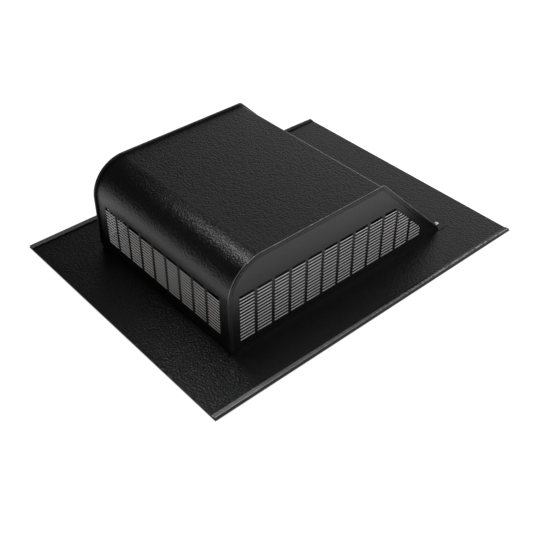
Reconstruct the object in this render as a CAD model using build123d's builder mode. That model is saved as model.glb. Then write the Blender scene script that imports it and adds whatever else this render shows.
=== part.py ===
from build123d import *
from math import atan2, cos, radians, sin, tan
import os

# Slant-back static roof louver in thin painted sheet, in millimetres.
# +Z is up from the roof, -Y is the louvred front (down the slope), X is the width.
# The origin is at the centre of the base sheet's underside.

# Sheet
sheet = 0.6  # thickness of every sheet

# Base sheet
base_width = 393.7
base_depth = 508.0
hem_width = 6.5  # side hem, folded up and back over the sheet
hem_height = 4.2
hem_bend = 1.2  # width of the sloping facet at each corner of the hem

# Throat
throat_diameter = 203.2
throat_y = -48.0
collar_height = 14.0  # top of the upturned collar above the roof

# Hood outline, to the outer face of its sheet
hood_width = 267.0  # over the outer faces of the two side panels
hood_height = 124.0  # level top above the roof
front_y = -180.0
nose_radius = 46.0
crest_y = 58.0  # where the level top turns down
crest_radius = 4.0
heel_y = 180.0  # where the slanted back meets its foot

# Feet of the hood on the base sheet
front_foot = 12.0
rear_foot = 19.0
side_foot = 10.0
side_foot_gap = 1.5  # between the ends of the side feet and the front foot
side_foot_stop = 20.0  # the side foot ends this far in front of the heel

# Standing seam: the hood sheet turns up, over and down around each side panel
seam_rise = 3.0
seam_overhang = 1.7  # outside the side panel's outer face
seam_lip = 2.5  # how far the turned edge comes down past the hood sheet
seam_bend = 0.9  # width of the sloping facet on each outer corner of the fold
seam_play = 0.9  # room inside the fold above the side panel's edge
seam_front_start = 7.0  # the fold starts this high above the roof
seam_rear_stop = 4.5  # and ends this high above the roof at the heel

# Louvres: rows of tilted fins in columns
fin_pitch = 4.7  # between the fins of a side panel
front_pitch = 4.33  # between the fins of the front
fin_width = 2.0  # along the sloping face of a fin
fin_tilt = 45.0  # from upright, lower edge outwards
fin_root = 1.3  # how far down the outer face of the sheet a fin is joined
fin_length = 21.3
shortest_fin = 7.0  # a fin cut shorter than this by the outline is left out
column_bar = 4.54  # plain strip between two columns
lowest_fin = 15.2  # height of a side panel's lowest fin's centre above the roof
front_lowest = 20.8  # the same for the front
front_gap = 9.0  # least height from the front's highest fin's centre to the start of the nose
window_head = 1.5  # extra height of a window above its highest fin
front_columns = 9
side_columns = 12
side_field_front = 13.5  # from the hood's front to the first side column
louvre_margin = 11.0  # plain border of a side panel along the hood's outline

# Rivets
rivet_head = 6.4
rivet_sides = 12  # facets around a rivet's head
rivet_head_height = 1.1
rivet_edge = 11.9  # from each end of the rear foot to its rivet

# Sizes that follow from those above
half_width = hood_width / 2
panel_inside = half_width - sheet
seam_inside = panel_inside - sheet
seam_outside = half_width + seam_overhang
foot_top = 2 * sheet
panel_rise = seam_rise - sheet - seam_play
slant = atan2(hood_height - foot_top, heel_y - crest_y)
throat_radius = throat_diameter / 2
column_pitch = fin_length + column_bar
nose_start = hood_height - nose_radius
fin_count = int((nose_start - lowest_fin) / fin_pitch) + 1
front_count = int((nose_start - front_gap - front_lowest) / front_pitch) + 1
front_field = front_columns * column_pitch - column_bar
side_field = side_columns * column_pitch - column_bar
side_field_middle = front_y + side_field_front + side_field / 2
fin_reach = fin_width * sin(radians(fin_tilt))
fin_drop = fin_width * cos(radians(fin_tilt))
rear_foot_middle = heel_y + rear_foot / 2
side_foot_front = front_y + front_foot + side_foot_gap
side_foot_back = heel_y - side_foot_stop
rivet_spread = 2 * (seam_outside - rivet_edge)


def slant_y(height, out=0.0):
    """Y of the slanted back at a height, moved outwards by out."""
    return heel_y - (height - foot_top) / tan(slant) + out / sin(slant)


def crest_point(out):
    """Corner of the level top and the slanted back, moved outwards by out."""
    top = hood_height + out
    return (slant_y(top, out), top)


def hood_area(out, bottom, mode=Mode.ADD):
    """Sketch the hood's side outline, moved outwards by out and cut off at a height."""
    front = front_y - out
    with BuildLine() as outline:
        FilletPolyline(
            (front, bottom),
            (front, hood_height + out),
            crest_point(out),
            (slant_y(bottom, out), bottom),
            radius=[nose_radius + out, max(crest_radius + out, 0)],
        )
        Line((slant_y(bottom, out), bottom), (front, bottom))
    make_face(outline.edges(), mode=mode)


def louvre_windows(columns, middle, lowest, pitch, rows):
    """Sketch one window per louvre column on a sheet seen from outside."""
    with Locations((middle, lowest - pitch / 2)):
        with GridLocations(column_pitch, pitch, columns, 1):
            Rectangle(fin_length, rows * pitch + window_head, align=(Align.CENTER, Align.MIN))


def front_windows():
    """Sketch the windows of the front."""
    louvre_windows(front_columns, 0, front_lowest, front_pitch, front_count)


def row_middle(lowest, pitch, rows):
    """Height of the middle of a stack of fins' upper edges."""
    return lowest + (rows - 1) * pitch / 2 + fin_drop / 2


def side_windows():
    """Sketch the windows of a side panel, cut off along the hood's outline."""
    louvre_windows(side_columns, side_field_middle, lowest_fin, fin_pitch, fin_count)
    hood_area(-louvre_margin, 0, mode=Mode.INTERSECT)


# Base sheet with its two side hems and the throat's collar
flat_half = base_width / 2 - hem_width
with BuildPart() as base_flashing:
    with BuildSketch(Plane.XY):
        Rectangle(2 * flat_half, base_depth)
    extrude(amount=sheet)
    with BuildSketch(Plane.XZ.offset(-base_depth / 2)):
        with BuildLine():
            Polyline(
                (flat_half, 0),
                (base_width / 2 - hem_bend, 0),
                (base_width / 2, hem_bend),
                (base_width / 2, hem_height - hem_bend),
                (base_width / 2 - hem_bend, hem_height),
                (flat_half, hem_height),
            )
            offset(amount=sheet, side=Side.LEFT, kind=Kind.INTERSECTION)
        make_face()
        mirror(about=Plane.YZ)
    extrude(amount=base_depth)
    with BuildSketch(Plane.XY):
        with Locations((0, throat_y)):
            Circle(throat_radius + sheet)
    extrude(amount=collar_height)
    with BuildSketch(Plane.XY):
        with Locations((0, throat_y)):
            Circle(throat_radius)
    extrude(amount=collar_height, mode=Mode.SUBTRACT)
base_flashing.part.label = "base_flashing"

# Fins of the louvred front: long strips cut to the columns
with BuildPart() as front_fins:
    with BuildSketch(Plane.YZ.offset(-front_field / 2)):
        with Locations((front_y + sheet, row_middle(front_lowest, front_pitch, front_count))):
            with GridLocations(front_pitch, front_pitch, 1, front_count):
                Polygon((0, 0), (-fin_reach, -fin_drop), (-sheet, -fin_root), align=None)
    extrude(amount=front_field)
    with BuildSketch(Plane.XZ.offset(-front_y)):
        front_windows()
    extrude(amount=2 * fin_width, both=True, mode=Mode.INTERSECT)

# Hood sheet: front foot, louvred front, nose, top, slanted back and rear foot in one strip
with BuildPart() as hood_sheet:
    with BuildSketch(Plane.YZ.offset(-panel_inside)):
        with BuildLine():
            FilletPolyline(
                (front_y + front_foot, sheet),
                (front_y, sheet),
                (front_y, hood_height),
                (crest_y, hood_height),
                (heel_y, foot_top),
                (heel_y + rear_foot, foot_top),
                radius=[0, nose_radius, crest_radius, 0],
            )
            offset(amount=sheet, side=Side.RIGHT, kind=Kind.INTERSECTION)
        make_face()
    extrude(amount=2 * panel_inside)
    with BuildSketch(Plane.XZ.offset(-front_y)):
        front_windows()
    extrude(amount=2 * sheet, both=True, mode=Mode.SUBTRACT)
    # The rear foot runs out under the seams
    with BuildSketch(Plane.XY.offset(sheet)):
        with Locations((0, rear_foot_middle)):
            Rectangle(2 * seam_outside, rear_foot)
    extrude(amount=sheet)
    # Standing seam along the outline, over the edge of each side panel
    with BuildLine() as seam_path:
        FilletPolyline(
            (0, front_y, seam_front_start),
            (0, front_y, hood_height),
            (0, crest_y, hood_height),
            (0, slant_y(seam_rear_stop), seam_rear_stop),
            radius=[nose_radius, crest_radius],
        )
    seam_plane = Plane(origin=(0, front_y, seam_front_start), x_dir=(1, 0, 0), z_dir=(0, 0, -1))
    with BuildSketch(seam_plane):
        Polygon(
            (seam_inside, 0),
            (seam_inside, seam_rise - seam_bend),
            (seam_inside + seam_bend, seam_rise),
            (seam_outside - seam_bend, seam_rise),
            (seam_outside, seam_rise - seam_bend),
            (seam_outside, -seam_lip),
            (seam_outside - sheet, -seam_lip),
            (seam_outside - sheet, seam_rise - sheet),
            (panel_inside, seam_rise - sheet),
            (panel_inside, 0),
            align=None,
        )
        mirror(about=Plane.YZ)
    sweep(path=seam_path.wires()[0])
    add(front_fins.part, clean=False)
hood_sheet.part.label = "hood_sheet"

# Fins of a side panel: long strips cut to the columns, which stop along the hood's outline
with BuildPart() as side_fins:
    with BuildSketch(Plane.XZ.offset(-side_field_middle - side_field / 2)):
        with Locations((panel_inside, row_middle(lowest_fin, fin_pitch, fin_count))):
            with GridLocations(fin_pitch, fin_pitch, 1, fin_count):
                Polygon((0, 0), (sheet, -fin_root), (fin_reach, -fin_drop), align=None)
    extrude(amount=side_field)
    with BuildSketch(Plane.YZ.offset(half_width)):
        side_windows()
    extrude(amount=2 * fin_width, both=True, mode=Mode.INTERSECT)

# Side panel: flat louvred sheet inside the seam, with an inward foot
with BuildPart() as side_panel_right:
    with BuildSketch(Plane.YZ.offset(panel_inside)):
        hood_area(panel_rise, foot_top)
    extrude(amount=sheet)
    with BuildSketch(Plane.YZ.offset(panel_inside)):
        side_windows()
    extrude(amount=sheet, mode=Mode.SUBTRACT)
    with BuildSketch(Plane.XY.offset(sheet)):
        with Locations((half_width, (side_foot_front + side_foot_back) / 2)):
            Rectangle(side_foot, side_foot_back - side_foot_front, align=(Align.MAX, Align.CENTER))
    extrude(amount=sheet)
    add([fin for fin in side_fins.solids() if fin.bounding_box().size.Y > shortest_fin], clean=False)
side_panel_right.part.label = "side_panel_right"

with BuildPart() as side_panel_left:
    mirror(side_panel_right.part, about=Plane.YZ)
side_panel_left.part.label = "side_panel_left"

# Rivet heads on the two ends of the rear foot
with BuildPart() as rear_rivets:
    with BuildSketch(Plane.XY.offset(foot_top)):
        with Locations((0, rear_foot_middle)):
            with GridLocations(rivet_spread, rear_foot, 2, 1):
                RegularPolygon(rivet_head / 2, rivet_sides)
    extrude(amount=rivet_head_height)
rear_rivets.part.label = "rear_rivets"

os.makedirs("parts", exist_ok=True)
for piece in (base_flashing, hood_sheet, side_panel_right, side_panel_left, rear_rivets):
    export_step(piece.part, f"parts/{piece.part.label}.step")
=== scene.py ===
# %% [markdown]
# # A static roof louver in embossed black sheet
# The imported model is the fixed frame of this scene: five nodes, in metres, with +Z up from the roof
# and the louvred front towards -Y. Each step below dresses one piece or one finish.

# %% Load the frame
import math

import bmesh
import bpy
from mathutils import Matrix, Vector


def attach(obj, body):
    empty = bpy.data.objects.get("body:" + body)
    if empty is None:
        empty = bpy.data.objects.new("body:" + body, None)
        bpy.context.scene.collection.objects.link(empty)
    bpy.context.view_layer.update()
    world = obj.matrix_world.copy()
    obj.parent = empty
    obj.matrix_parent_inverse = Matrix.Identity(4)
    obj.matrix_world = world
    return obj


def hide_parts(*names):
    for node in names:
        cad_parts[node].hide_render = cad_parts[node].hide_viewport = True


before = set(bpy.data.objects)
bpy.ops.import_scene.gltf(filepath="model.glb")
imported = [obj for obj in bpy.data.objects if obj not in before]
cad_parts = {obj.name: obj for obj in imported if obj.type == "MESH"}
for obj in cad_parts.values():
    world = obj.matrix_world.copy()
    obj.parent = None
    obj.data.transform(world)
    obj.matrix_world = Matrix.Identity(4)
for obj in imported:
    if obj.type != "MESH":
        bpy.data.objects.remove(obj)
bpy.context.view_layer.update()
print("nodes:", sorted(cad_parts))

# %% [markdown]
# ## Shader arithmetic
# A paint film is a handful of numbers worked out at every point of a surface. In the node editor
# that is a long chain of Math nodes. Wrapping a socket in a small class lets the chain be written
# as a plain Python expression, and one method makes every other kind of node.


# %% Sockets that take part in arithmetic
class Reading:
    """One output socket. Arithmetic on it adds Math nodes to its tree."""

    def __init__(self, tree, socket):
        self.tree = tree
        self.socket = socket

    def _math(self, operation, first, second):
        step = self.tree.nodes.new("ShaderNodeMath")
        step.operation = operation
        for place, value in enumerate((first, second)):
            if isinstance(value, Reading):
                self.tree.links.new(value.socket, step.inputs[place])
            else:
                step.inputs[place].default_value = value
        return Reading(self.tree, step.outputs[0])

    def __add__(self, other):
        return self._math("ADD", self, other)

    def __radd__(self, other):
        return self._math("ADD", other, self)

    def __sub__(self, other):
        return self._math("SUBTRACT", self, other)

    def __rsub__(self, other):
        return self._math("SUBTRACT", other, self)

    def __mul__(self, other):
        return self._math("MULTIPLY", self, other)

    def __rmul__(self, other):
        return self._math("MULTIPLY", other, self)


class Network:
    """A node tree under construction."""

    def __init__(self, tree):
        self.tree = tree
        tree.nodes.clear()

    def node(self, kind, settings=None, sockets=None, output=0):
        """Add a node, set it up, then give each socket, by name or number, a value or a link.

        The setting "stops" fills a colour ramp with pairs of a place and a shade of grey.
        """
        made = self.tree.nodes.new(kind)
        for name, value in (settings or {}).items():
            if name == "stops":
                ramp = made.color_ramp.elements
                while len(ramp) < len(value):
                    ramp.new(0.5)
                for stop, (place, shade) in zip(ramp, value):
                    stop.position = place
                    stop.color = (shade, shade, shade, 1)
            else:
                setattr(made, name, value)
        for name, value in (sockets or {}).items():
            if isinstance(value, Reading):
                self.tree.links.new(value.socket, made.inputs[name])
            else:
                made.inputs[name].default_value = value
        return Reading(self.tree, made.outputs[output]) if made.outputs else None


# %% [markdown]
# ## Patterns
# Every finish here is mixed from the same few things: a soft random pattern, one coordinate of the
# place on the part, and a fade from 0 to 1 between two values. In the node editor these are the
# Noise Texture, Separate XYZ and Map Range nodes. A short function for each keeps the finishes
# readable.


# %% Noise, coordinates and fades
def noise(net, place, scale, detail, roughness=0.5, output=0):
    """A soft random pattern; a larger scale makes it finer."""
    sockets = {"Vector": place, "Scale": scale, "Detail": detail, "Roughness": roughness}
    return net.node("ShaderNodeTexNoise", None, sockets, output)


def coordinate(net, place, way):
    """The X, Y or Z of a place."""
    return net.node("ShaderNodeSeparateXYZ", None, {0: place}, way)


def fade(net, value, start, end):
    """0 at the start and before it, 1 at the end and past it, with a straight change between."""
    return net.node("ShaderNodeMapRange", None, {0: value, 1: start, 2: end})


def soft_fade(net, value, start, end):
    """The same, with a gentle start and end."""
    settings = {"interpolation_type": "SMOOTHSTEP"}
    return net.node("ShaderNodeMapRange", settings, {0: value, 1: start, 2: end})


def grey(net, shade):
    """A colour with one shade in its three parts."""
    parts = ("Red", "Green", "Blue")
    return net.node("ShaderNodeCombineColor", None, {part: shade for part in parts})


# %% [markdown]
# ## The embossed paint
# The sheet is rolled between patterned rolls before it is cut, so every flat face carries a
# leather-like grain a few millimetres long under a thin satin black film. A displaced mesh would
# need millions of faces for that, so the grain is a Bump on noise whose coordinates are first bent
# by a broader noise. A gentle fade then levels the tops and the floors of that noise and leaves soft
# slopes between them, as an embossing roll does.

# %% Embossed paint
bare_shade = 0.8
wander_scale, wander_reach = 0.5, 0.9
hill_scale, hill_roughness, fine_scale = 0.9, 0.45, 3.0
hill_floor, hill_top = 0.34, 0.66
hill_share, fine_share = 0.85, 0.15
blotch_scale = 14.0
thinnest_film, film_range = 0.6, 0.8
blotch_dulls, fine_dulls, bare_dulls = 0.1, 0.04, 0.1
paint_ior = 1.5


def embossed_paint(name, shade, roughness, grain_height, grain_size, wear_and_highlight=None):
    """Black paint over embossed sheet, in metres; worn(net, place) says where metal shows."""
    material = bpy.data.materials.new(name)
    material.use_nodes = True
    net = Network(material.node_tree)
    place = net.node("ShaderNodeTexCoord", output="Object")
    wander = noise(net, place, wander_scale / grain_size, 1.0, output="Color")
    reach = {0: wander, "Scale": wander_reach * grain_size}
    push = net.node("ShaderNodeVectorMath", {"operation": "SCALE"}, reach)
    bent = net.node("ShaderNodeVectorMath", {"operation": "ADD"}, {0: place, 1: push})
    hills = noise(net, bent, hill_scale / grain_size, 1.0, hill_roughness)
    fine = noise(net, place, fine_scale / grain_size, 2.0)
    height = soft_fade(net, hills, hill_floor, hill_top) * hill_share + fine * fine_share
    normal = net.node("ShaderNodeBump", None, {"Height": height, "Distance": grain_height})
    blotch = noise(net, place, blotch_scale, 3.0)
    bare = wear_and_highlight(net, place) if wear_and_highlight else 0.0
    film = (thinnest_film + blotch * film_range) * shade
    dulling = blotch * blotch_dulls + fine * fine_dulls + bare * bare_dulls
    surface = net.node(
        "ShaderNodeBsdfPrincipled",
        None,
        {
            "Base Color": grey(net, film * (1 - bare) + bare * bare_shade),
            "Roughness": roughness - blotch_dulls / 2 + dulling,
            "Metallic": bare,
            "Normal": normal,
            "IOR": paint_ior,
        },
    )
    net.node("ShaderNodeOutputMaterial", None, {"Surface": surface})
    return material


# %% [markdown]
# ## Wear and painted highlight
# Folded edges stand proud, so the film on them is rubbed thin and bare aluminium shines through. A
# mask from 0 to 1 says how much. It could be painted by hand on a UV map, but these folds follow
# the axes of the part, so a band of coordinates, in metres, finds them and noise breaks it up. On
# the hems and seams the rub is also a painted highlight: it grows towards the right, and on the
# seams it stays high up, where the light catches those edges.


# %% Worn places and painted highlight
def off_centre(net, place):
    """Distance from the middle of the part, sideways."""
    return net.node("ShaderNodeMath", {"operation": "ABSOLUTE"}, {0: coordinate(net, place, "X")})


def band(net, value, start, end, blur):
    """1 between two values, fading to 0 over a short way outside them."""
    return fade(net, value, start - blur, start) * fade(net, value, end + blur, end)


def hem_wear_and_highlight(net, place):
    """Rub on both hem crowns: wide and even in front, a mottled line behind, heavier right as painted
    highlight.
    """
    inner, taper, outer, low, high, blur = 0.1917, 0.009, 0.1955, 0.0019, 0.01, 0.0005
    patch_scale, patch_roughness, patch_floor, patch_top = 260.0, 0.6, 0.3, 0.7
    even_back, even_front, even_rub = 0.12, -0.2, 0.7
    middle_rub, highlight_right_gain = 0.55, 1.6
    lengthways = coordinate(net, place, "Y")
    patch = noise(net, place, patch_scale, 3.0, patch_roughness)
    mottled = soft_fade(net, patch, patch_floor, patch_top)
    even = fade(net, lengthways, even_back, even_front)
    rubbed = mottled * (1 - even) + even * even_rub
    on_hem = band(net, off_centre(net, place), inner + lengthways * taper, outer, blur)
    on_crown = band(net, coordinate(net, place, "Z"), low, high, blur)
    # Painted highlight: the rub grows towards the right, where the light catches the hem.
    right_side_highlight = middle_rub + coordinate(net, place, "X") * highlight_right_gain
    return on_hem * on_crown * rubbed * right_side_highlight


def seam_wear_and_highlight(net, place):
    """A faint rub along the crowns of both standing seams, partly painted highlight: high up, heavier
    right.
    """
    inner, outer, crown_blur = 0.1324, 0.1336, 0.0002
    low, high, height_blur = 0.09, 0.2, 0.05
    patch_scale, middle_rub, highlight_right_gain = 200.0, 0.5, 3.0
    on_crown = band(net, off_centre(net, place), inner, outer, crown_blur)
    # Painted highlight: the rub is kept high up and grows towards the right, where the light catches
    # the seams.
    highlight_height_band = band(net, coordinate(net, place, "Z"), low, high, height_blur)
    right_side_highlight = middle_rub + coordinate(net, place, "X") * highlight_right_gain
    return on_crown * highlight_height_band * noise(net, place, patch_scale, 2.0) * right_side_highlight


def blade_wear(net, place):
    """A thin, even shine all over the louvre blades, which the die has rubbed."""
    least_rub, scuff_scale, scuff_share = 0.7, 900.0, 0.4
    return least_rub + noise(net, place, scuff_scale, 2.0) * scuff_share


# %% [markdown]
# ## Four paints
# All the sheet is one black, but not one finish. The base and the hood have the deep grain, the end
# panels are pressed smoother by the louvre die, and the blades are rubbed nearly bare by it. One
# function with a few numbers makes all four, so they stay a family.

# %% Paints
black, satin, rubbed_satin = 0.002, 0.31, 0.3
base_grain, hood_grain, panel_grain, blade_grain = 0.0002, 0.00021, 0.00008, 0.00001
sheet_spacing, pressed_spacing = 0.0021, 0.0025
# The base and hood paints carry the rubbed edges together with their painted highlight.
base_paint = embossed_paint("base_paint", black, satin, base_grain, sheet_spacing, hem_wear_and_highlight)
hood_paint = embossed_paint("hood_paint", black, satin, hood_grain, sheet_spacing, seam_wear_and_highlight)
side_paint = embossed_paint("side_paint", black, satin, panel_grain, pressed_spacing)
blade_paint = embossed_paint(
    "blade_paint", black, rubbed_satin, blade_grain, pressed_spacing, blade_wear
)
print("paints:", base_paint.name, hood_paint.name, side_paint.name, blade_paint.name)

# %% [markdown]
# ## Sizes
# The frame's solids are exact but plain: folded edges are faceted and each louvre is a wedge. The
# pieces below stand in the same places with rolled edges and formed blades. Their sizes repeat the
# solids' own, apart from small trim such as a hem that is rolled a little flatter. They are in
# millimetres, because that is how sheet metal is drawn, and each piece is scaled to metres when it
# is done.

# %% Sheet sizes in millimetres
sheet = 0.6
half_sheet = sheet / 2
base_width, base_depth = 393.7, 508.0
hem_width, hem_height = 6.5, 3.4
throat_radius, throat_y, collar_height = 101.6, -48.0, 14.0
hood_height, front_y, nose_radius = 124.0, -180.0, 46.0
crest_y, crest_radius, heel_y = 58.0, 4.0, 180.0
front_foot, rear_foot, side_foot = 12.0, 19.0, 10.0
half_width = 133.5
foot_top = 2 * sheet
slant = math.atan2(hood_height - foot_top, heel_y - crest_y)
nose_centre = Vector((0, front_y + nose_radius, hood_height - nose_radius))
crest_setback = crest_radius * math.tan(slant / 2)
crest_centre = Vector((0, crest_y - crest_setback, hood_height - crest_radius))
down_slope = Vector((0, math.cos(slant), -math.sin(slant)))
across, upward = Vector((1, 0, 0)), Vector((0, 0, 1))
print("slant:", round(math.degrees(slant), 2), "degrees")

# %% [markdown]
# ## Working sheet metal
# Sheet is modelled here the way it is worked: a bare edge is pulled along to make a flat, and swung
# about an axis to make a bend. Extrude and Spin do just that. The result is the middle of the sheet,
# and a Solidify modifier gives it its gauge at the end. Box modelling and bevelling would also give
# the folds, but pulled edges keep every flat a single face.


# %% Pull and bend
def fresh_edges(made):
    """The edges between the vertices that an operator has just made."""
    corners = {item for item in made if isinstance(item, bmesh.types.BMVert)}
    return list({e for v in corners for e in v.link_edges if e.other_vert(v) in corners})


def pull(shape, edges, step):
    """Extrude edges along a step and return the new edges."""
    made = bmesh.ops.extrude_edge_only(shape, edges=edges)["geom"]
    corners = [item for item in made if isinstance(item, bmesh.types.BMVert)]
    bmesh.ops.translate(shape, verts=corners, vec=step)
    return fresh_edges(made)


def bend(shape, edges, centre, axis, angle, steps):
    """Swing edges about an axis and return the last edges."""
    swung = list({v for e in edges for v in e.verts}) + list(edges)
    made = bmesh.ops.spin(
        shape, geom=swung, cent=centre, axis=axis, dvec=(0, 0, 0), angle=angle, steps=steps
    )["geom_last"]
    return fresh_edges(made)


def start_line(shape, points):
    """A chain of edges through a few points."""
    corners = [bmesh.ops.create_vert(shape, co=point)["vert"][0] for point in points]
    return [shape.edges.new(pair) for pair in zip(corners, corners[1:])]


# %% [markdown]
# ## Finishing a piece
# Every piece ends the same way: meeting corners are welded, millimetres become metres, the sheet
# gets its gauge, it is hung under the root, and the node's own solid that it stands for is hidden.
# Solidify is applied at once, so that the sharp edges are found on the real thickness. Weighted
# normals then let the large flats decide the shading, and the small bends blend into them.

# %% Weld, thicken and stand in for a node
weld_distance, to_metres = 0.01, 0.001
sharp_angle = math.radians(35)


def keep_piece(name, shape, finishes, node, gauge=sheet):
    """Turn a working shape into a finished piece that stands for a node."""
    bmesh.ops.remove_doubles(shape, verts=shape.verts, dist=weld_distance)
    bmesh.ops.scale(shape, verts=shape.verts, vec=(to_metres, to_metres, to_metres))
    bmesh.ops.recalc_face_normals(shape, faces=shape.faces)
    for face in shape.faces:
        face.smooth = True
    mesh = bpy.data.meshes.new(name)
    shape.to_mesh(mesh)
    shape.free()
    for finish in finishes:
        mesh.materials.append(finish)
    piece = bpy.data.objects.new(name, mesh)
    bpy.context.scene.collection.objects.link(piece)
    if gauge:
        skin = piece.modifiers.new("gauge", "SOLIDIFY")
        skin.thickness = gauge * to_metres
        skin.offset = 0
        skin.use_even_offset = True
        solid = piece.evaluated_get(bpy.context.evaluated_depsgraph_get())
        mesh = bpy.data.meshes.new_from_object(solid)
        mesh.name = name + "_solid"
        piece.modifiers.clear()
        piece.data = mesh
    mesh.set_sharp_from_angle(angle=sharp_angle)
    weigh = piece.modifiers.new("flat_faces_first", "WEIGHTED_NORMAL")
    weigh.keep_sharp = True
    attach(piece, "root")
    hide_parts(node)
    print(name, "faces:", len(mesh.polygons))


# %% [markdown]
# ## Base sheet
# A flat sheet with a round throat whose edge is turned up into a collar, and a hem rolled along the
# left and right edges to stop rain running off sideways. A ring of edges for the throat is bridged
# to the outline, then the ring is pulled up and the side edges are rolled over. The rear ends of
# the hems are pressed flatter.

# %% Flat and throat
throat_sides, outline_cuts = 96, 11
hem_roll = (hem_height - sheet) / 2
roll_x = base_width / 2 - half_sheet - hem_roll
near, far = -base_depth / 2, base_depth / 2
shape = bmesh.new()
throat_middle = throat_radius + half_sheet
ring = bmesh.ops.create_circle(shape, segments=throat_sides, radius=throat_middle)["verts"]
bmesh.ops.translate(shape, verts=ring, vec=(0, throat_y, half_sheet))
throat_edges = list({e for v in ring for e in v.link_edges})
plan = ((-roll_x, near), (roll_x, near), (roll_x, far), (-roll_x, far))
outline = start_line(shape, [(x, y, half_sheet) for x, y in plan])
outline.append(shape.edges.new((outline[-1].verts[1], outline[0].verts[0])))
bmesh.ops.subdivide_edges(shape, edges=outline, cuts=outline_cuts)
outline = [e for e in shape.edges if e not in set(throat_edges)]
side_edges = {
    side: [e for e in outline if all(abs(v.co.x - side * roll_x) < weld_distance for v in e.verts)]
    for side in (-1, 1)
}
bmesh.ops.bridge_loops(shape, edges=throat_edges + outline)
pull(shape, throat_edges, (0, 0, collar_height - half_sheet))
print("base faces without the hems:", len(shape.faces))

# %% Hems
hem_slope, hem_steps = math.radians(15), 12
press_depth, pressed_height = 1.0, 0.45
hem_run = hem_width - hem_roll
for side, edges in side_edges.items():
    roll_centre = (side * roll_x, 0, half_sheet + hem_roll)
    rolled = bend(shape, edges, roll_centre, (0, -side, 0), math.pi + hem_slope, hem_steps)
    inward, down = hem_run * math.cos(hem_slope), hem_run * math.sin(hem_slope)
    pull(shape, rolled, (-side * inward, 0, -down))
pressed = [
    v
    for v in shape.verts
    if v.co.y > far - press_depth and abs(v.co.x) > roll_x - hem_width and v.co.z > sheet
]
sheet_level = Matrix.Translation((0, 0, -sheet))
bmesh.ops.scale(shape, verts=pressed, vec=(1, 1, pressed_height), space=sheet_level)
keep_piece("base_sheet", shape, [base_paint], "base_flashing")

# %% [markdown]
# ## Louvre blades
# Each blade is lanced out of the sheet and turned outwards along its lower edge. From a step away
# the rows read as fine bright lines. A straight edge swung a little way about a line in front of the
# sheet gives a curled strip of a few faces, and the columns repeat it. One blade copied by an Array
# modifier would look the same in front, but the slanted back needs blades of many lengths.

# %% Louvre sizes
side_pitch, side_rows, side_lowest = 4.7, 14, 15.2
front_pitch, front_rows, front_lowest = 4.33, 12, 20.8
fin_length, column_bar = 21.3, 4.54
column_pitch = fin_length + column_bar
front_columns, side_columns = 9, 12
side_head, front_head = 2.5, 4.4
louvre_margin, shortest_fin = 11.0, 1.5
blade_width, blade_steps = 0.95, 4
blade_start, blade_end = math.radians(8), math.radians(42)
blade_radius = blade_width / (blade_end - blade_start)
blade_drop = blade_radius * (math.sin(blade_end) - math.sin(blade_start))
print("blade radius and drop:", round(blade_radius, 2), round(blade_drop, 2), "mm")


# %% Rows of blades
def field_span(lowest, pitch, rows, head):
    """Lowest and highest edge of the windows around a stack of blades."""
    low = lowest - pitch / 2
    return low, low + rows * pitch + head


def blade_tops(lowest, pitch, rows):
    """Heights of the blades' upper edges."""
    return [lowest + row * pitch + blade_drop / 2 for row in range(rows)]


def add_blades(shape, outward, along, places):
    """Strips that leave the sheet at the top and curl outwards; places are tops and lengths."""
    plain = set(shape.faces)
    lean = math.cos(blade_start) * outward + math.sin(blade_start) * upward
    for top, length in places:
        edge = start_line(shape, [top, Vector(top) + along * length])
        centre = Vector(top) + blade_radius * lean
        bend(shape, edge, centre, outward.cross(upward), blade_end - blade_start, blade_steps)
    for face in shape.faces:
        if face not in plain:
            face.material_index = 1
    print("blades:", len(places))


# %% [markdown]
# ## Hood
# One strip runs from the front foot up the louvred front, over the round nose, along the level top
# and down the slanted back to the rear foot. It starts as a single edge across the hood, which is
# pulled along every flat and swung round every bend in turn.

# %% Hood strip
fold, seam_overhang = 1.5, 1.7
nose_steps, crest_steps, foot_steps = 32, 8, 6
strip_half = half_width - 2 * sheet + half_sheet
front_mid, foot_mid = front_y + half_sheet, sheet + half_sheet


def over_the_top(shape, edge):
    """Carry an edge from the top of the front round the nose, along the top and round the crest."""
    edge = bend(shape, edge, nose_centre, across, -math.pi / 2, nose_steps)
    edge = pull(shape, edge, (0, crest_centre.y - nose_centre.y, 0))
    return bend(shape, edge, crest_centre, across, -slant, crest_steps)


shape = bmesh.new()
edge = start_line(shape, [(x, front_y + front_foot, foot_mid) for x in (-strip_half, strip_half)])
edge = pull(shape, edge, (0, front_mid + fold - front_y - front_foot, 0))
front_bend = (0, front_mid + fold, foot_mid + fold)
edge = bend(shape, edge, front_bend, across, -math.pi / 2, foot_steps)
before = set(shape.faces)
edge = pull(shape, edge, (0, 0, nose_centre.z - foot_mid - fold))
front_faces = [f for f in shape.faces if f not in before]
edge = over_the_top(shape, edge)
print("strip faces up to the crest:", len(shape.faces))

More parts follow.
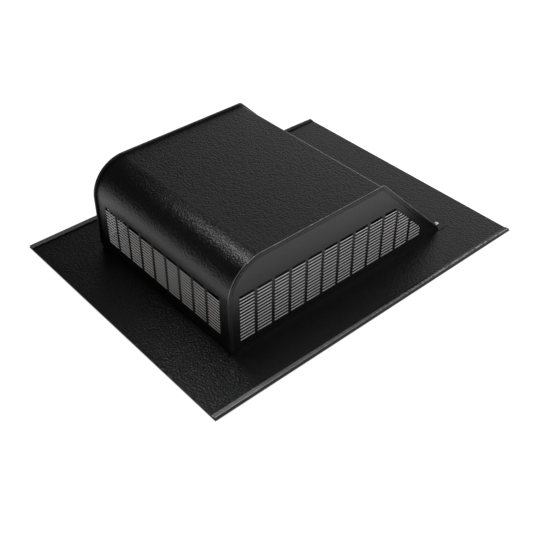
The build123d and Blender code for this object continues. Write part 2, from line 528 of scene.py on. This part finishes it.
# %% Slanted back and rear foot
square_to_slope = Vector((0, math.sin(slant), math.cos(slant)))
crest_end = crest_centre + (crest_radius - half_sheet) * square_to_slope
heel_corner = Vector((0, heel_y - half_sheet * math.tan(slant / 2), foot_mid))
heel_lead = fold * math.tan(slant / 2)
edge = pull(shape, edge, heel_corner - down_slope * heel_lead - crest_end)
heel_bend = (0, heel_corner.y + heel_lead, foot_mid + fold)
edge = bend(shape, edge, heel_bend, across, slant, foot_steps)
before = set(shape.faces)
pull(shape, edge, (0, heel_y + rear_foot - heel_corner.y - heel_lead, 0))
rear_foot_face = next(f for f in shape.faces if f not in before)
seam_outside = half_width + seam_overhang
for side in (-1, 1):
    ends = [
        e
        for e in rear_foot_face.edges
        if all(side * v.co.x > strip_half - half_sheet for v in e.verts)
    ]
    pull(shape, ends, (side * (seam_outside - strip_half), 0, 0))
print("strip faces:", len(shape.faces))

# %% [markdown]
# ## Louvred front
# The front has nine tall windows, each with its stack of blades. Cutting the flat with planes leaves
# a grid of smaller faces, and those inside a window are deleted. A Boolean would also cut them, but
# it wants closed solids, and the strip is still a bare surface.

# %% Cutting windows
cut_tolerance = 0.001


def cut_windows(shape, faces, cuts, is_window):
    """Cut flat faces along planes, then take out those whose middle is in a window."""
    faces = list(faces)
    for point, normal in cuts:
        edges = list({e for f in faces for e in f.edges})
        corners = list({v for f in faces for v in f.verts})
        made = bmesh.ops.bisect_plane(
            shape,
            geom=faces + edges + corners,
            dist=cut_tolerance,
            plane_co=point,
            plane_no=normal,
        )["geom"]
        faces = [item for item in made if isinstance(item, bmesh.types.BMFace)]
    gone = [f for f in faces if is_window(f.calc_center_median())]
    bmesh.ops.delete(shape, geom=gone, context="FACES")
    print("windows cut:", len(gone))


def in_column(value, starts):
    """Whether a place along the sheet lies within a louvre column."""
    return any(start < value < start + fin_length for start in starts)


# %% Windows and blades of the front
front_field = front_columns * column_pitch - column_bar
front_starts = [column * column_pitch - front_field / 2 for column in range(front_columns)]
front_low, front_high = field_span(front_lowest, front_pitch, front_rows, front_head)
front_tops = blade_tops(front_lowest, front_pitch, front_rows)
cuts = [((x + end, 0, 0), across) for x in front_starts for end in (0, fin_length)]
cuts += [((0, 0, z), upward) for z in (front_low, front_high)]


def in_front_window(middle):
    """Whether the middle of a face lies in a window of the front."""
    return front_low < middle.z < front_high and in_column(middle.x, front_starts)


cut_windows(shape, front_faces, cuts, in_front_window)
front_blades = [((x, front_mid, top), fin_length) for top in front_tops for x in front_starts]
add_blades(shape, Vector((0, -1, 0)), across, front_blades)

# %% [markdown]
# ## Standing seams
# Along both ends the sheet stands up, rolls over and comes down outside the end panels: a standing
# seam that holds them without fasteners. Its section is drawn once, at the foot of the front, and
# then takes the strip's own way over the hood. The crown is pressed flatter than a half circle and
# the lip leans in a little, as a closing tool leaves them. A curve with a bevel could carry the
# section too, but here the bends are the very ones of the strip.

# %% Standing seams
seam_rise, seam_lip, seam_front_start, seam_rear_stop = 3.0, 2.5, 7.0, 4.5
crown_flatness, crown_steps, lip_lean = 0.5, 8, 0.7
seam_roll = (seam_outside - half_sheet - strip_half) / 2
seam_shoulder = seam_rise - half_sheet - seam_roll * crown_flatness
for side in (-1, 1):
    upright = [
        (side * strip_half, front_y - out, seam_front_start) for out in (-half_sheet, seam_shoulder)
    ]
    tip = start_line(shape, upright)[-1].verts[1]
    centre = Vector((side * (strip_half + seam_roll), front_y - seam_shoulder, seam_front_start))
    bmesh.ops.spin(
        shape,
        geom=[tip],
        cent=centre,
        axis=upward,
        dvec=(0, 0, 0),
        angle=side * math.pi,
        steps=crown_steps,
    )
    shoulder_y = tip.co.y + weld_distance
    crown = [v for v in shape.verts if v.is_wire and v is not tip and v.co.y < shoulder_y]
    about_centre = Matrix.Translation(-centre)
    bmesh.ops.scale(shape, verts=crown, vec=(1, crown_flatness, 1), space=about_centre)
    rolled = max(crown, key=lambda v: side * v.co.x)
    lip = bmesh.ops.extrude_vert_indiv(shape, verts=[rolled])["verts"]
    bmesh.ops.translate(shape, verts=lip, vec=(-side * lip_lean, seam_shoulder + seam_lip, 0))
    edge = [e for e in shape.edges if e.is_wire]
    edge = over_the_top(shape, pull(shape, edge, (0, 0, nose_centre.z - seam_front_start)))
    pull(shape, edge, down_slope * (crest_end.z - seam_rear_stop) / math.sin(slant))
keep_piece("hood", shape, [hood_paint, blade_paint], "hood_sheet")

# %% [markdown]
# ## End panels
# Two flat louvred sheets, one for each hand, held inside the seams. The outline is drawn once as a
# closed chain of edges and filled, then cut into columns; blades that the slanted back cuts short
# end on it. One panel could be mirrored into the other, but a sign in the coordinates does it
# without turning faces inside out.

# %% Panel sizes
panel_rise, side_field_front = 1.5, 13.5
side_foot_gap, side_foot_stop = 1.5, 20.0
side_low, side_high = field_span(side_lowest, side_pitch, side_rows, side_head)
side_tops = blade_tops(side_lowest, side_pitch, side_rows)
field_front = front_y + side_field_front
side_starts = [field_front + column * column_pitch for column in range(side_columns)]
foot_ends = (front_y + front_foot + side_foot_gap, heel_y - side_foot_stop)
margin_point = Vector((0, heel_y - louvre_margin / math.sin(slant), foot_top))


def margin_y(height):
    """Where the plain border along the slanted back starts, at a height."""
    return margin_point.y - (height - margin_point.z) / math.tan(slant)


def in_side_window(middle):
    """Whether the middle of a face lies in a window of an end panel."""
    inside = side_low < middle.z < side_high and middle.y < margin_y(middle.z)
    return inside and in_column(middle.y, side_starts)


print("windows of the end panels:", round(side_low, 2), "to", round(side_high, 2), "mm high")


# %% Drawing an outline
def draw_on(shape, corner, step):
    """Pull a corner along a step and return the new corner."""
    made = bmesh.ops.extrude_vert_indiv(shape, verts=[corner])["verts"]
    bmesh.ops.translate(shape, verts=made, vec=step)
    return made[0]


def swing_on(shape, corner, centre, angle, steps):
    """Swing a corner round a centre and return the last corner."""
    made = bmesh.ops.spin(
        shape, geom=[corner], cent=centre, axis=across, dvec=(0, 0, 0), angle=angle, steps=steps
    )["geom_last"]
    return next(item for item in made if isinstance(item, bmesh.types.BMVert))


def panel_flat(plane_x):
    """The filled outline of an end panel, drawn up the front, over the nose and down the back."""
    shape = bmesh.new()
    foot_corner = (plane_x, front_y - panel_rise, foot_top)
    start = bmesh.ops.create_vert(shape, co=foot_corner)["vert"][0]
    corner = draw_on(shape, start, (0, 0, nose_centre.z - foot_top))
    corner = swing_on(shape, corner, nose_centre, -math.pi / 2, nose_steps)
    corner = draw_on(shape, corner, (0, crest_centre.y - nose_centre.y, 0))
    corner = swing_on(shape, corner, crest_centre, -slant, crest_steps)
    corner = draw_on(shape, corner, down_slope * (corner.co.z - foot_top) / math.sin(slant))
    shape.edges.new((corner, start))
    bmesh.ops.contextual_create(shape, geom=list(shape.edges))
    return shape


# %% End panels
def end_panel(side, node):
    """One louvred end panel with its inward foot; side is 1 for the right hand, -1 for the left."""
    plane_x = side * (half_width - half_sheet)
    shape = panel_flat(plane_x)
    lengthways = Vector((0, 1, 0))
    cuts = [((0, y + end, 0), lengthways) for y in side_starts for end in (0, fin_length)]
    cuts += [((0, 0, z), upward) for z in (side_low, side_high)]
    cuts.append((margin_point, square_to_slope))
    cut_windows(shape, shape.faces, cuts, in_side_window)
    spans = [
        ((plane_x, y, top), min(fin_length, margin_y(top) - y))
        for top in side_tops
        for y in side_starts
    ]
    blades = [(top, length) for top, length in spans if length > shortest_fin]
    add_blades(shape, side * across, lengthways, blades)
    foot = start_line(shape, [(plane_x, y, foot_top) for y in foot_ends])
    foot = pull(shape, foot, (0, 0, foot_mid - foot_top))
    pull(shape, foot, (-side * (side_foot - half_sheet), 0, 0))
    keep_piece(node + "_sheet", shape, [side_paint, blade_paint], node)


for side, node in ((1, "side_panel_right"), (-1, "side_panel_left")):
    end_panel(side, node)

# %% [markdown]
# ## Rivet metal
# The two rivets at the ends of the rear foot are bare drawn aluminium, the only unpainted pieces.
# Each head has fine scuffs, and a dark rim where it meets the painted sheet. A second material on
# the rim's faces would give a hard edge, so the distance from the rivet's own axis fades one into
# the other.

# %% Rivet metal
rivet_edge = 11.9
head_x, head_y = seam_outside - rivet_edge, heel_y + rear_foot / 2
bare_radius, rim_blur, rim_shade = 0.0026, 0.0003, 0.01
scuff_scale, scuff_depth = 1800.0, 0.00003
least_shine, scuff_shine, scuff_dulls = 0.85, 0.2, 0.15


def riveted_metal(name, shade, roughness):
    """Drawn aluminium with fine scuffs, and a dark rim where the head meets the painted sheet."""
    material = bpy.data.materials.new(name)
    material.use_nodes = True
    net = Network(material.node_tree)
    place = net.node("ShaderNodeTexCoord", output="Object")
    aside = off_centre(net, place) - head_x * to_metres
    behind = coordinate(net, place, "Y") - head_y * to_metres
    squared = aside * aside + behind * behind
    from_axis = net.node("ShaderNodeMath", {"operation": "SQRT"}, {0: squared})
    bare = fade(net, from_axis, bare_radius + rim_blur, bare_radius)
    scuff = noise(net, place, scuff_scale, 3.0)
    shine = (least_shine + scuff * scuff_shine) * shade * (rim_shade + bare * (1 - rim_shade))
    normal = net.node("ShaderNodeBump", None, {"Height": scuff, "Distance": scuff_depth})
    surface = net.node(
        "ShaderNodeBsdfPrincipled",
        None,
        {
            "Base Color": grey(net, shine),
            "Roughness": roughness + scuff * scuff_dulls,
            "Metallic": bare,
            "Normal": normal,
        },
    )
    net.node("ShaderNodeOutputMaterial", None, {"Surface": surface})
    return material


rivet_metal = riveted_metal("rivet_metal", shade=0.95, roughness=0.2)
print("rivets:", round(head_x, 2), "mm to each side of the middle")

# %% [markdown]
# ## Rivets
# A blind rivet shows a low round head with the end of its pin in a fine groove. Half of its section,
# from the axis out to the sheet, is spun all the way round. A squashed sphere would be quicker, but
# it has no groove and no flat pin.

# %% Rivets
head_steps, head_weld = 40, 0.001
pin = [(0, 1.05), (0.85, 1.05)]
groove = [(0.95, 0.85), (1.05, 1.09)]
dome = [(2.0, 1.0), (2.75, 0.7), (3.2, 0.25), (3.2, 0)]
shape = bmesh.new()
for side in (-1, 1):
    section = [(side * head_x + r, head_y, foot_top + z) for r, z in pin + groove + dome]
    fresh = start_line(shape, section)
    bmesh.ops.spin(
        shape,
        geom=list({v for e in fresh for v in e.verts}) + fresh,
        cent=(side * head_x, head_y, foot_top),
        axis=upward,
        dvec=(0, 0, 0),
        angle=2 * math.pi,
        steps=head_steps,
        use_merge=True,
    )
bmesh.ops.remove_doubles(shape, verts=shape.verts, dist=head_weld)
bmesh.ops.holes_fill(shape, edges=[e for e in shape.edges if e.is_boundary])
keep_piece("rivet_heads", shape, [rivet_metal], "rear_rivets", gauge=0)

# %% [markdown]
# ## Floor
# The part stands on a pale round floor that reaches past the picture. Black paint shows hardly
# anything but reflections, so what the paint mirrors matters more than what the lamps light. The
# floor glows white for the camera and less for mirrored rays. Painted shade makes it dark under the
# base, so that no light comes up through the throat, with a thin painted shadow along the base's
# edge. For mirrored rays a painted shadow also fades out around the base, and painted shade darkens
# the floor in front, most far away. A plain white floor would wash out the panels.

# %% Floor disc
floor_radius, floor_drop, floor_sides = 6.0, 0.0005, 96
floor_mesh = bpy.data.meshes.new("floor")
shape = bmesh.new()
bmesh.ops.create_circle(shape, cap_ends=True, segments=floor_sides, radius=floor_radius)
bmesh.ops.translate(shape, verts=shape.verts, vec=(0, 0, -floor_drop))
shape.to_mesh(floor_mesh)
shape.free()
floor = bpy.data.objects.new("floor", floor_mesh)
bpy.context.scene.collection.objects.link(floor)
print("floor radius:", floor_radius, "m")

# %% Floor finish
# Painted shade and shadow on the floor: dark under the base and for this width past its edge, a
# shadow round it and shade in front for mirrored rays.
painted_edge_shadow_width = 0.0015
front_from, front_to = 0.3, -0.1
far_from, far_to = 0.3, 1.2
shade_from, shade_to = 0.005, 0.06
covered_shade, open_shade, far_shade_loss = 0.15, 0.65, 0.5
camera_glow, mirror_glow = 0.85, 0.5
unshaded_gain, front_loss, far_loss = 0.4, 0.1, 0.55

floor_white = bpy.data.materials.new("floor_white")
floor_white.use_nodes = True
net = Network(floor_white.node_tree)
seen = net.node("ShaderNodeLightPath", output="Is Camera Ray")
mirrored = net.node("ShaderNodeLightPath", output="Is Glossy Ray")
through = net.node("ShaderNodeLightPath", output="Is Transmission Ray")
spot = net.node("ShaderNodeTexCoord", output="Object")
outside = net.node("ShaderNodeVectorMath", {"operation": "ABSOLUTE"}, {0: spot})
past_side = coordinate(net, outside, "X") - base_width / 2 * to_metres
past_end = coordinate(net, outside, "Y") - base_depth / 2 * to_metres
beyond = net.node("ShaderNodeMath", {"operation": "MAXIMUM"}, {0: past_side, 1: past_end})
# Painted shade: clear is 0 under the base and 1 just past it, which leaves a thin painted shadow
# along the edge.
clear = fade(net, beyond, 0.0, painted_edge_shadow_width)
# Painted shade on the floor in front, deepest far away, which mirrored rays see.
in_front = fade(net, coordinate(net, spot, "Y"), front_from, front_to)
painted_far_shade = in_front * soft_fade(net, beyond, far_from, far_to)
# Painted shadow round the base, seen in mirrored rays.
unshaded = soft_fade(net, beyond, shade_from, shade_to)
# The floor's grey, with painted shade under the base and, for mirrored rays, far in front.
pale = covered_shade + clear * (open_shade - mirrored * painted_far_shade * far_shade_loss)
matt = net.node("ShaderNodeBsdfDiffuse", None, {"Color": grey(net, pale)})
reflected = mirror_glow + unshaded * unshaded_gain - in_front * front_loss - painted_far_shade * far_loss
strength = (seen + through) * clear * camera_glow + mirrored * clear * reflected
glow = net.node("ShaderNodeEmission", None, {"Color": (1, 1, 1, 1), "Strength": strength})
both = net.node("ShaderNodeAddShader", None, {0: matt, 1: glow})
net.node("ShaderNodeOutputMaterial", None, {"Surface": both})
floor_mesh.materials.append(floor_white)
print("floor finish:", floor_white.name)

# %% [markdown]
# ## Surround
# The camera sees white all round. Mirrored rays see a studio instead: bright low down behind the
# part, dark overhead and in front, with a faint glow along the horizon and a soft panel behind the
# camera. That gives the sheet its sheen and keeps the front and the sides black. A ramp over a
# tilted direction does it with no picture of a room.

# %% Surround
brightest_way, camera_way = (0.0, 0.88, -0.47), (0.71, -0.71, 0.0)
studio_stops = [
    (0.3, 0.06),
    (0.43, 0.05),
    (0.5, 0.04),
    (0.572, 0.065),
    (0.627, 0.26),
    (0.665, 0.72),
    (0.8, 0.9),
]
horizon_top, horizon_glow = 0.09, 0.1
panel_edge, panel_middle, panel_glow = 0.4, 0.85, 0.25


def facing(net, way, target):
    """How far a direction points towards a target: 1 straight at it, -1 straight away."""
    settings = {"operation": "DOT_PRODUCT"}
    return net.node("ShaderNodeVectorMath", settings, {0: way, 1: target}, "Value")


world = bpy.data.worlds.new("studio")
bpy.context.scene.world = world
world.use_nodes = True
net = Network(world.node_tree)
way = net.node("ShaderNodeTexCoord", output="Generated")
lean = facing(net, way, brightest_way) * 0.5 + 0.5
shade = net.node("ShaderNodeValToRGB", {"stops": studio_stops}, {"Fac": lean})
gradient = net.node("ShaderNodeBackground", None, {"Color": shade, "Strength": 1.0})
low = soft_fade(net, coordinate(net, way, "Z"), horizon_top, 0.0)
behind_camera = soft_fade(net, facing(net, way, camera_way), panel_edge, panel_middle)
extra = low * horizon_glow + behind_camera * panel_glow
panels = net.node("ShaderNodeBackground", None, {"Color": (1, 1, 1, 1), "Strength": extra})
sky = net.node("ShaderNodeAddShader", None, {0: gradient, 1: panels})
seen = net.node("ShaderNodeLightPath", output="Is Camera Ray")
through = net.node("ShaderNodeLightPath", output="Is Transmission Ray")
white = net.node("ShaderNodeBackground", None, {"Color": (1, 1, 1, 1), "Strength": 1.0})
backdrop = net.node("ShaderNodeMixShader", None, {0: seen + through, 1: sky, 2: white})
net.node("ShaderNodeOutputWorld", None, {"Surface": backdrop})
print("surround:", world.name)

# %% [markdown]
# ## Soft boxes
# Three area lamps do the rest. A large one stands to the right and behind, a broad one hangs
# overhead, and a small one with a narrow spread, close above the left end of the nose, draws the
# highlight along its bend. Sun or point lamps would leave hard specks on the grain.


# %% Soft boxes
def soft_box(name, place, aim, size, watts, spread=180):
    """A square area lamp that looks at a point; a grid in front narrows its spread, in degrees."""
    lamp = bpy.data.lights.new(name, "AREA")
    lamp.shape = "SQUARE"
    lamp.size = size
    lamp.energy = watts
    lamp.spread = math.radians(spread)
    holder = bpy.data.objects.new(name, lamp)
    holder.location = place
    holder.rotation_euler = (Vector(aim) - Vector(place)).to_track_quat("-Z", "Y").to_euler()
    bpy.context.scene.collection.objects.link(holder)


soft_box("right_box", (1.05, 1.05, 1.5), aim=(0.15, 0, 0), size=0.8, watts=4)
soft_box(
    "left_box", (-0.19, -0.165, 0.56), aim=(0.115, -0.15, 0.12), size=0.1, watts=0.042, spread=50
)
soft_box("overhead_box", (0.0, 0.3, 2.2), aim=(0, 0, 0), size=1.4, watts=8)
print("lamps:", [lamp.name for lamp in bpy.data.lights])

# %% [markdown]
# ## Camera
# The picture is taken from the front right, well above the part. The camera's place, aim, lens and
# slight roll were fitted so that the corners of the base and the edges of the hood, whose sizes are
# known, fall where they do in the photograph.

# %% Camera
camera = bpy.data.objects.new("camera", bpy.data.cameras.new("camera"))
camera.data.sensor_width = 36.0
camera.data.lens = 57.315
camera.data.clip_start = 0.01
camera_place = Vector((0.68245, -0.60553, 0.70281))
camera_aim = Vector((0.0737, -0.0696, 0.0291))
look = (camera_aim - camera_place).to_track_quat("-Z", "Y").to_matrix()
roll = math.radians(0.164)
camera.location = camera_place
camera.rotation_euler = (look @ Matrix.Rotation(roll, 3, "Z")).to_euler()
bpy.context.scene.collection.objects.link(camera)
bpy.context.scene.camera = camera
print("camera distance:", round((camera_aim - camera_place).length, 3), "m")

# %% [markdown]
# ## Close
# The Standard view shows colours as they are written, with no film look.

# %% Close
bpy.context.scene.view_settings.view_transform = "Standard"
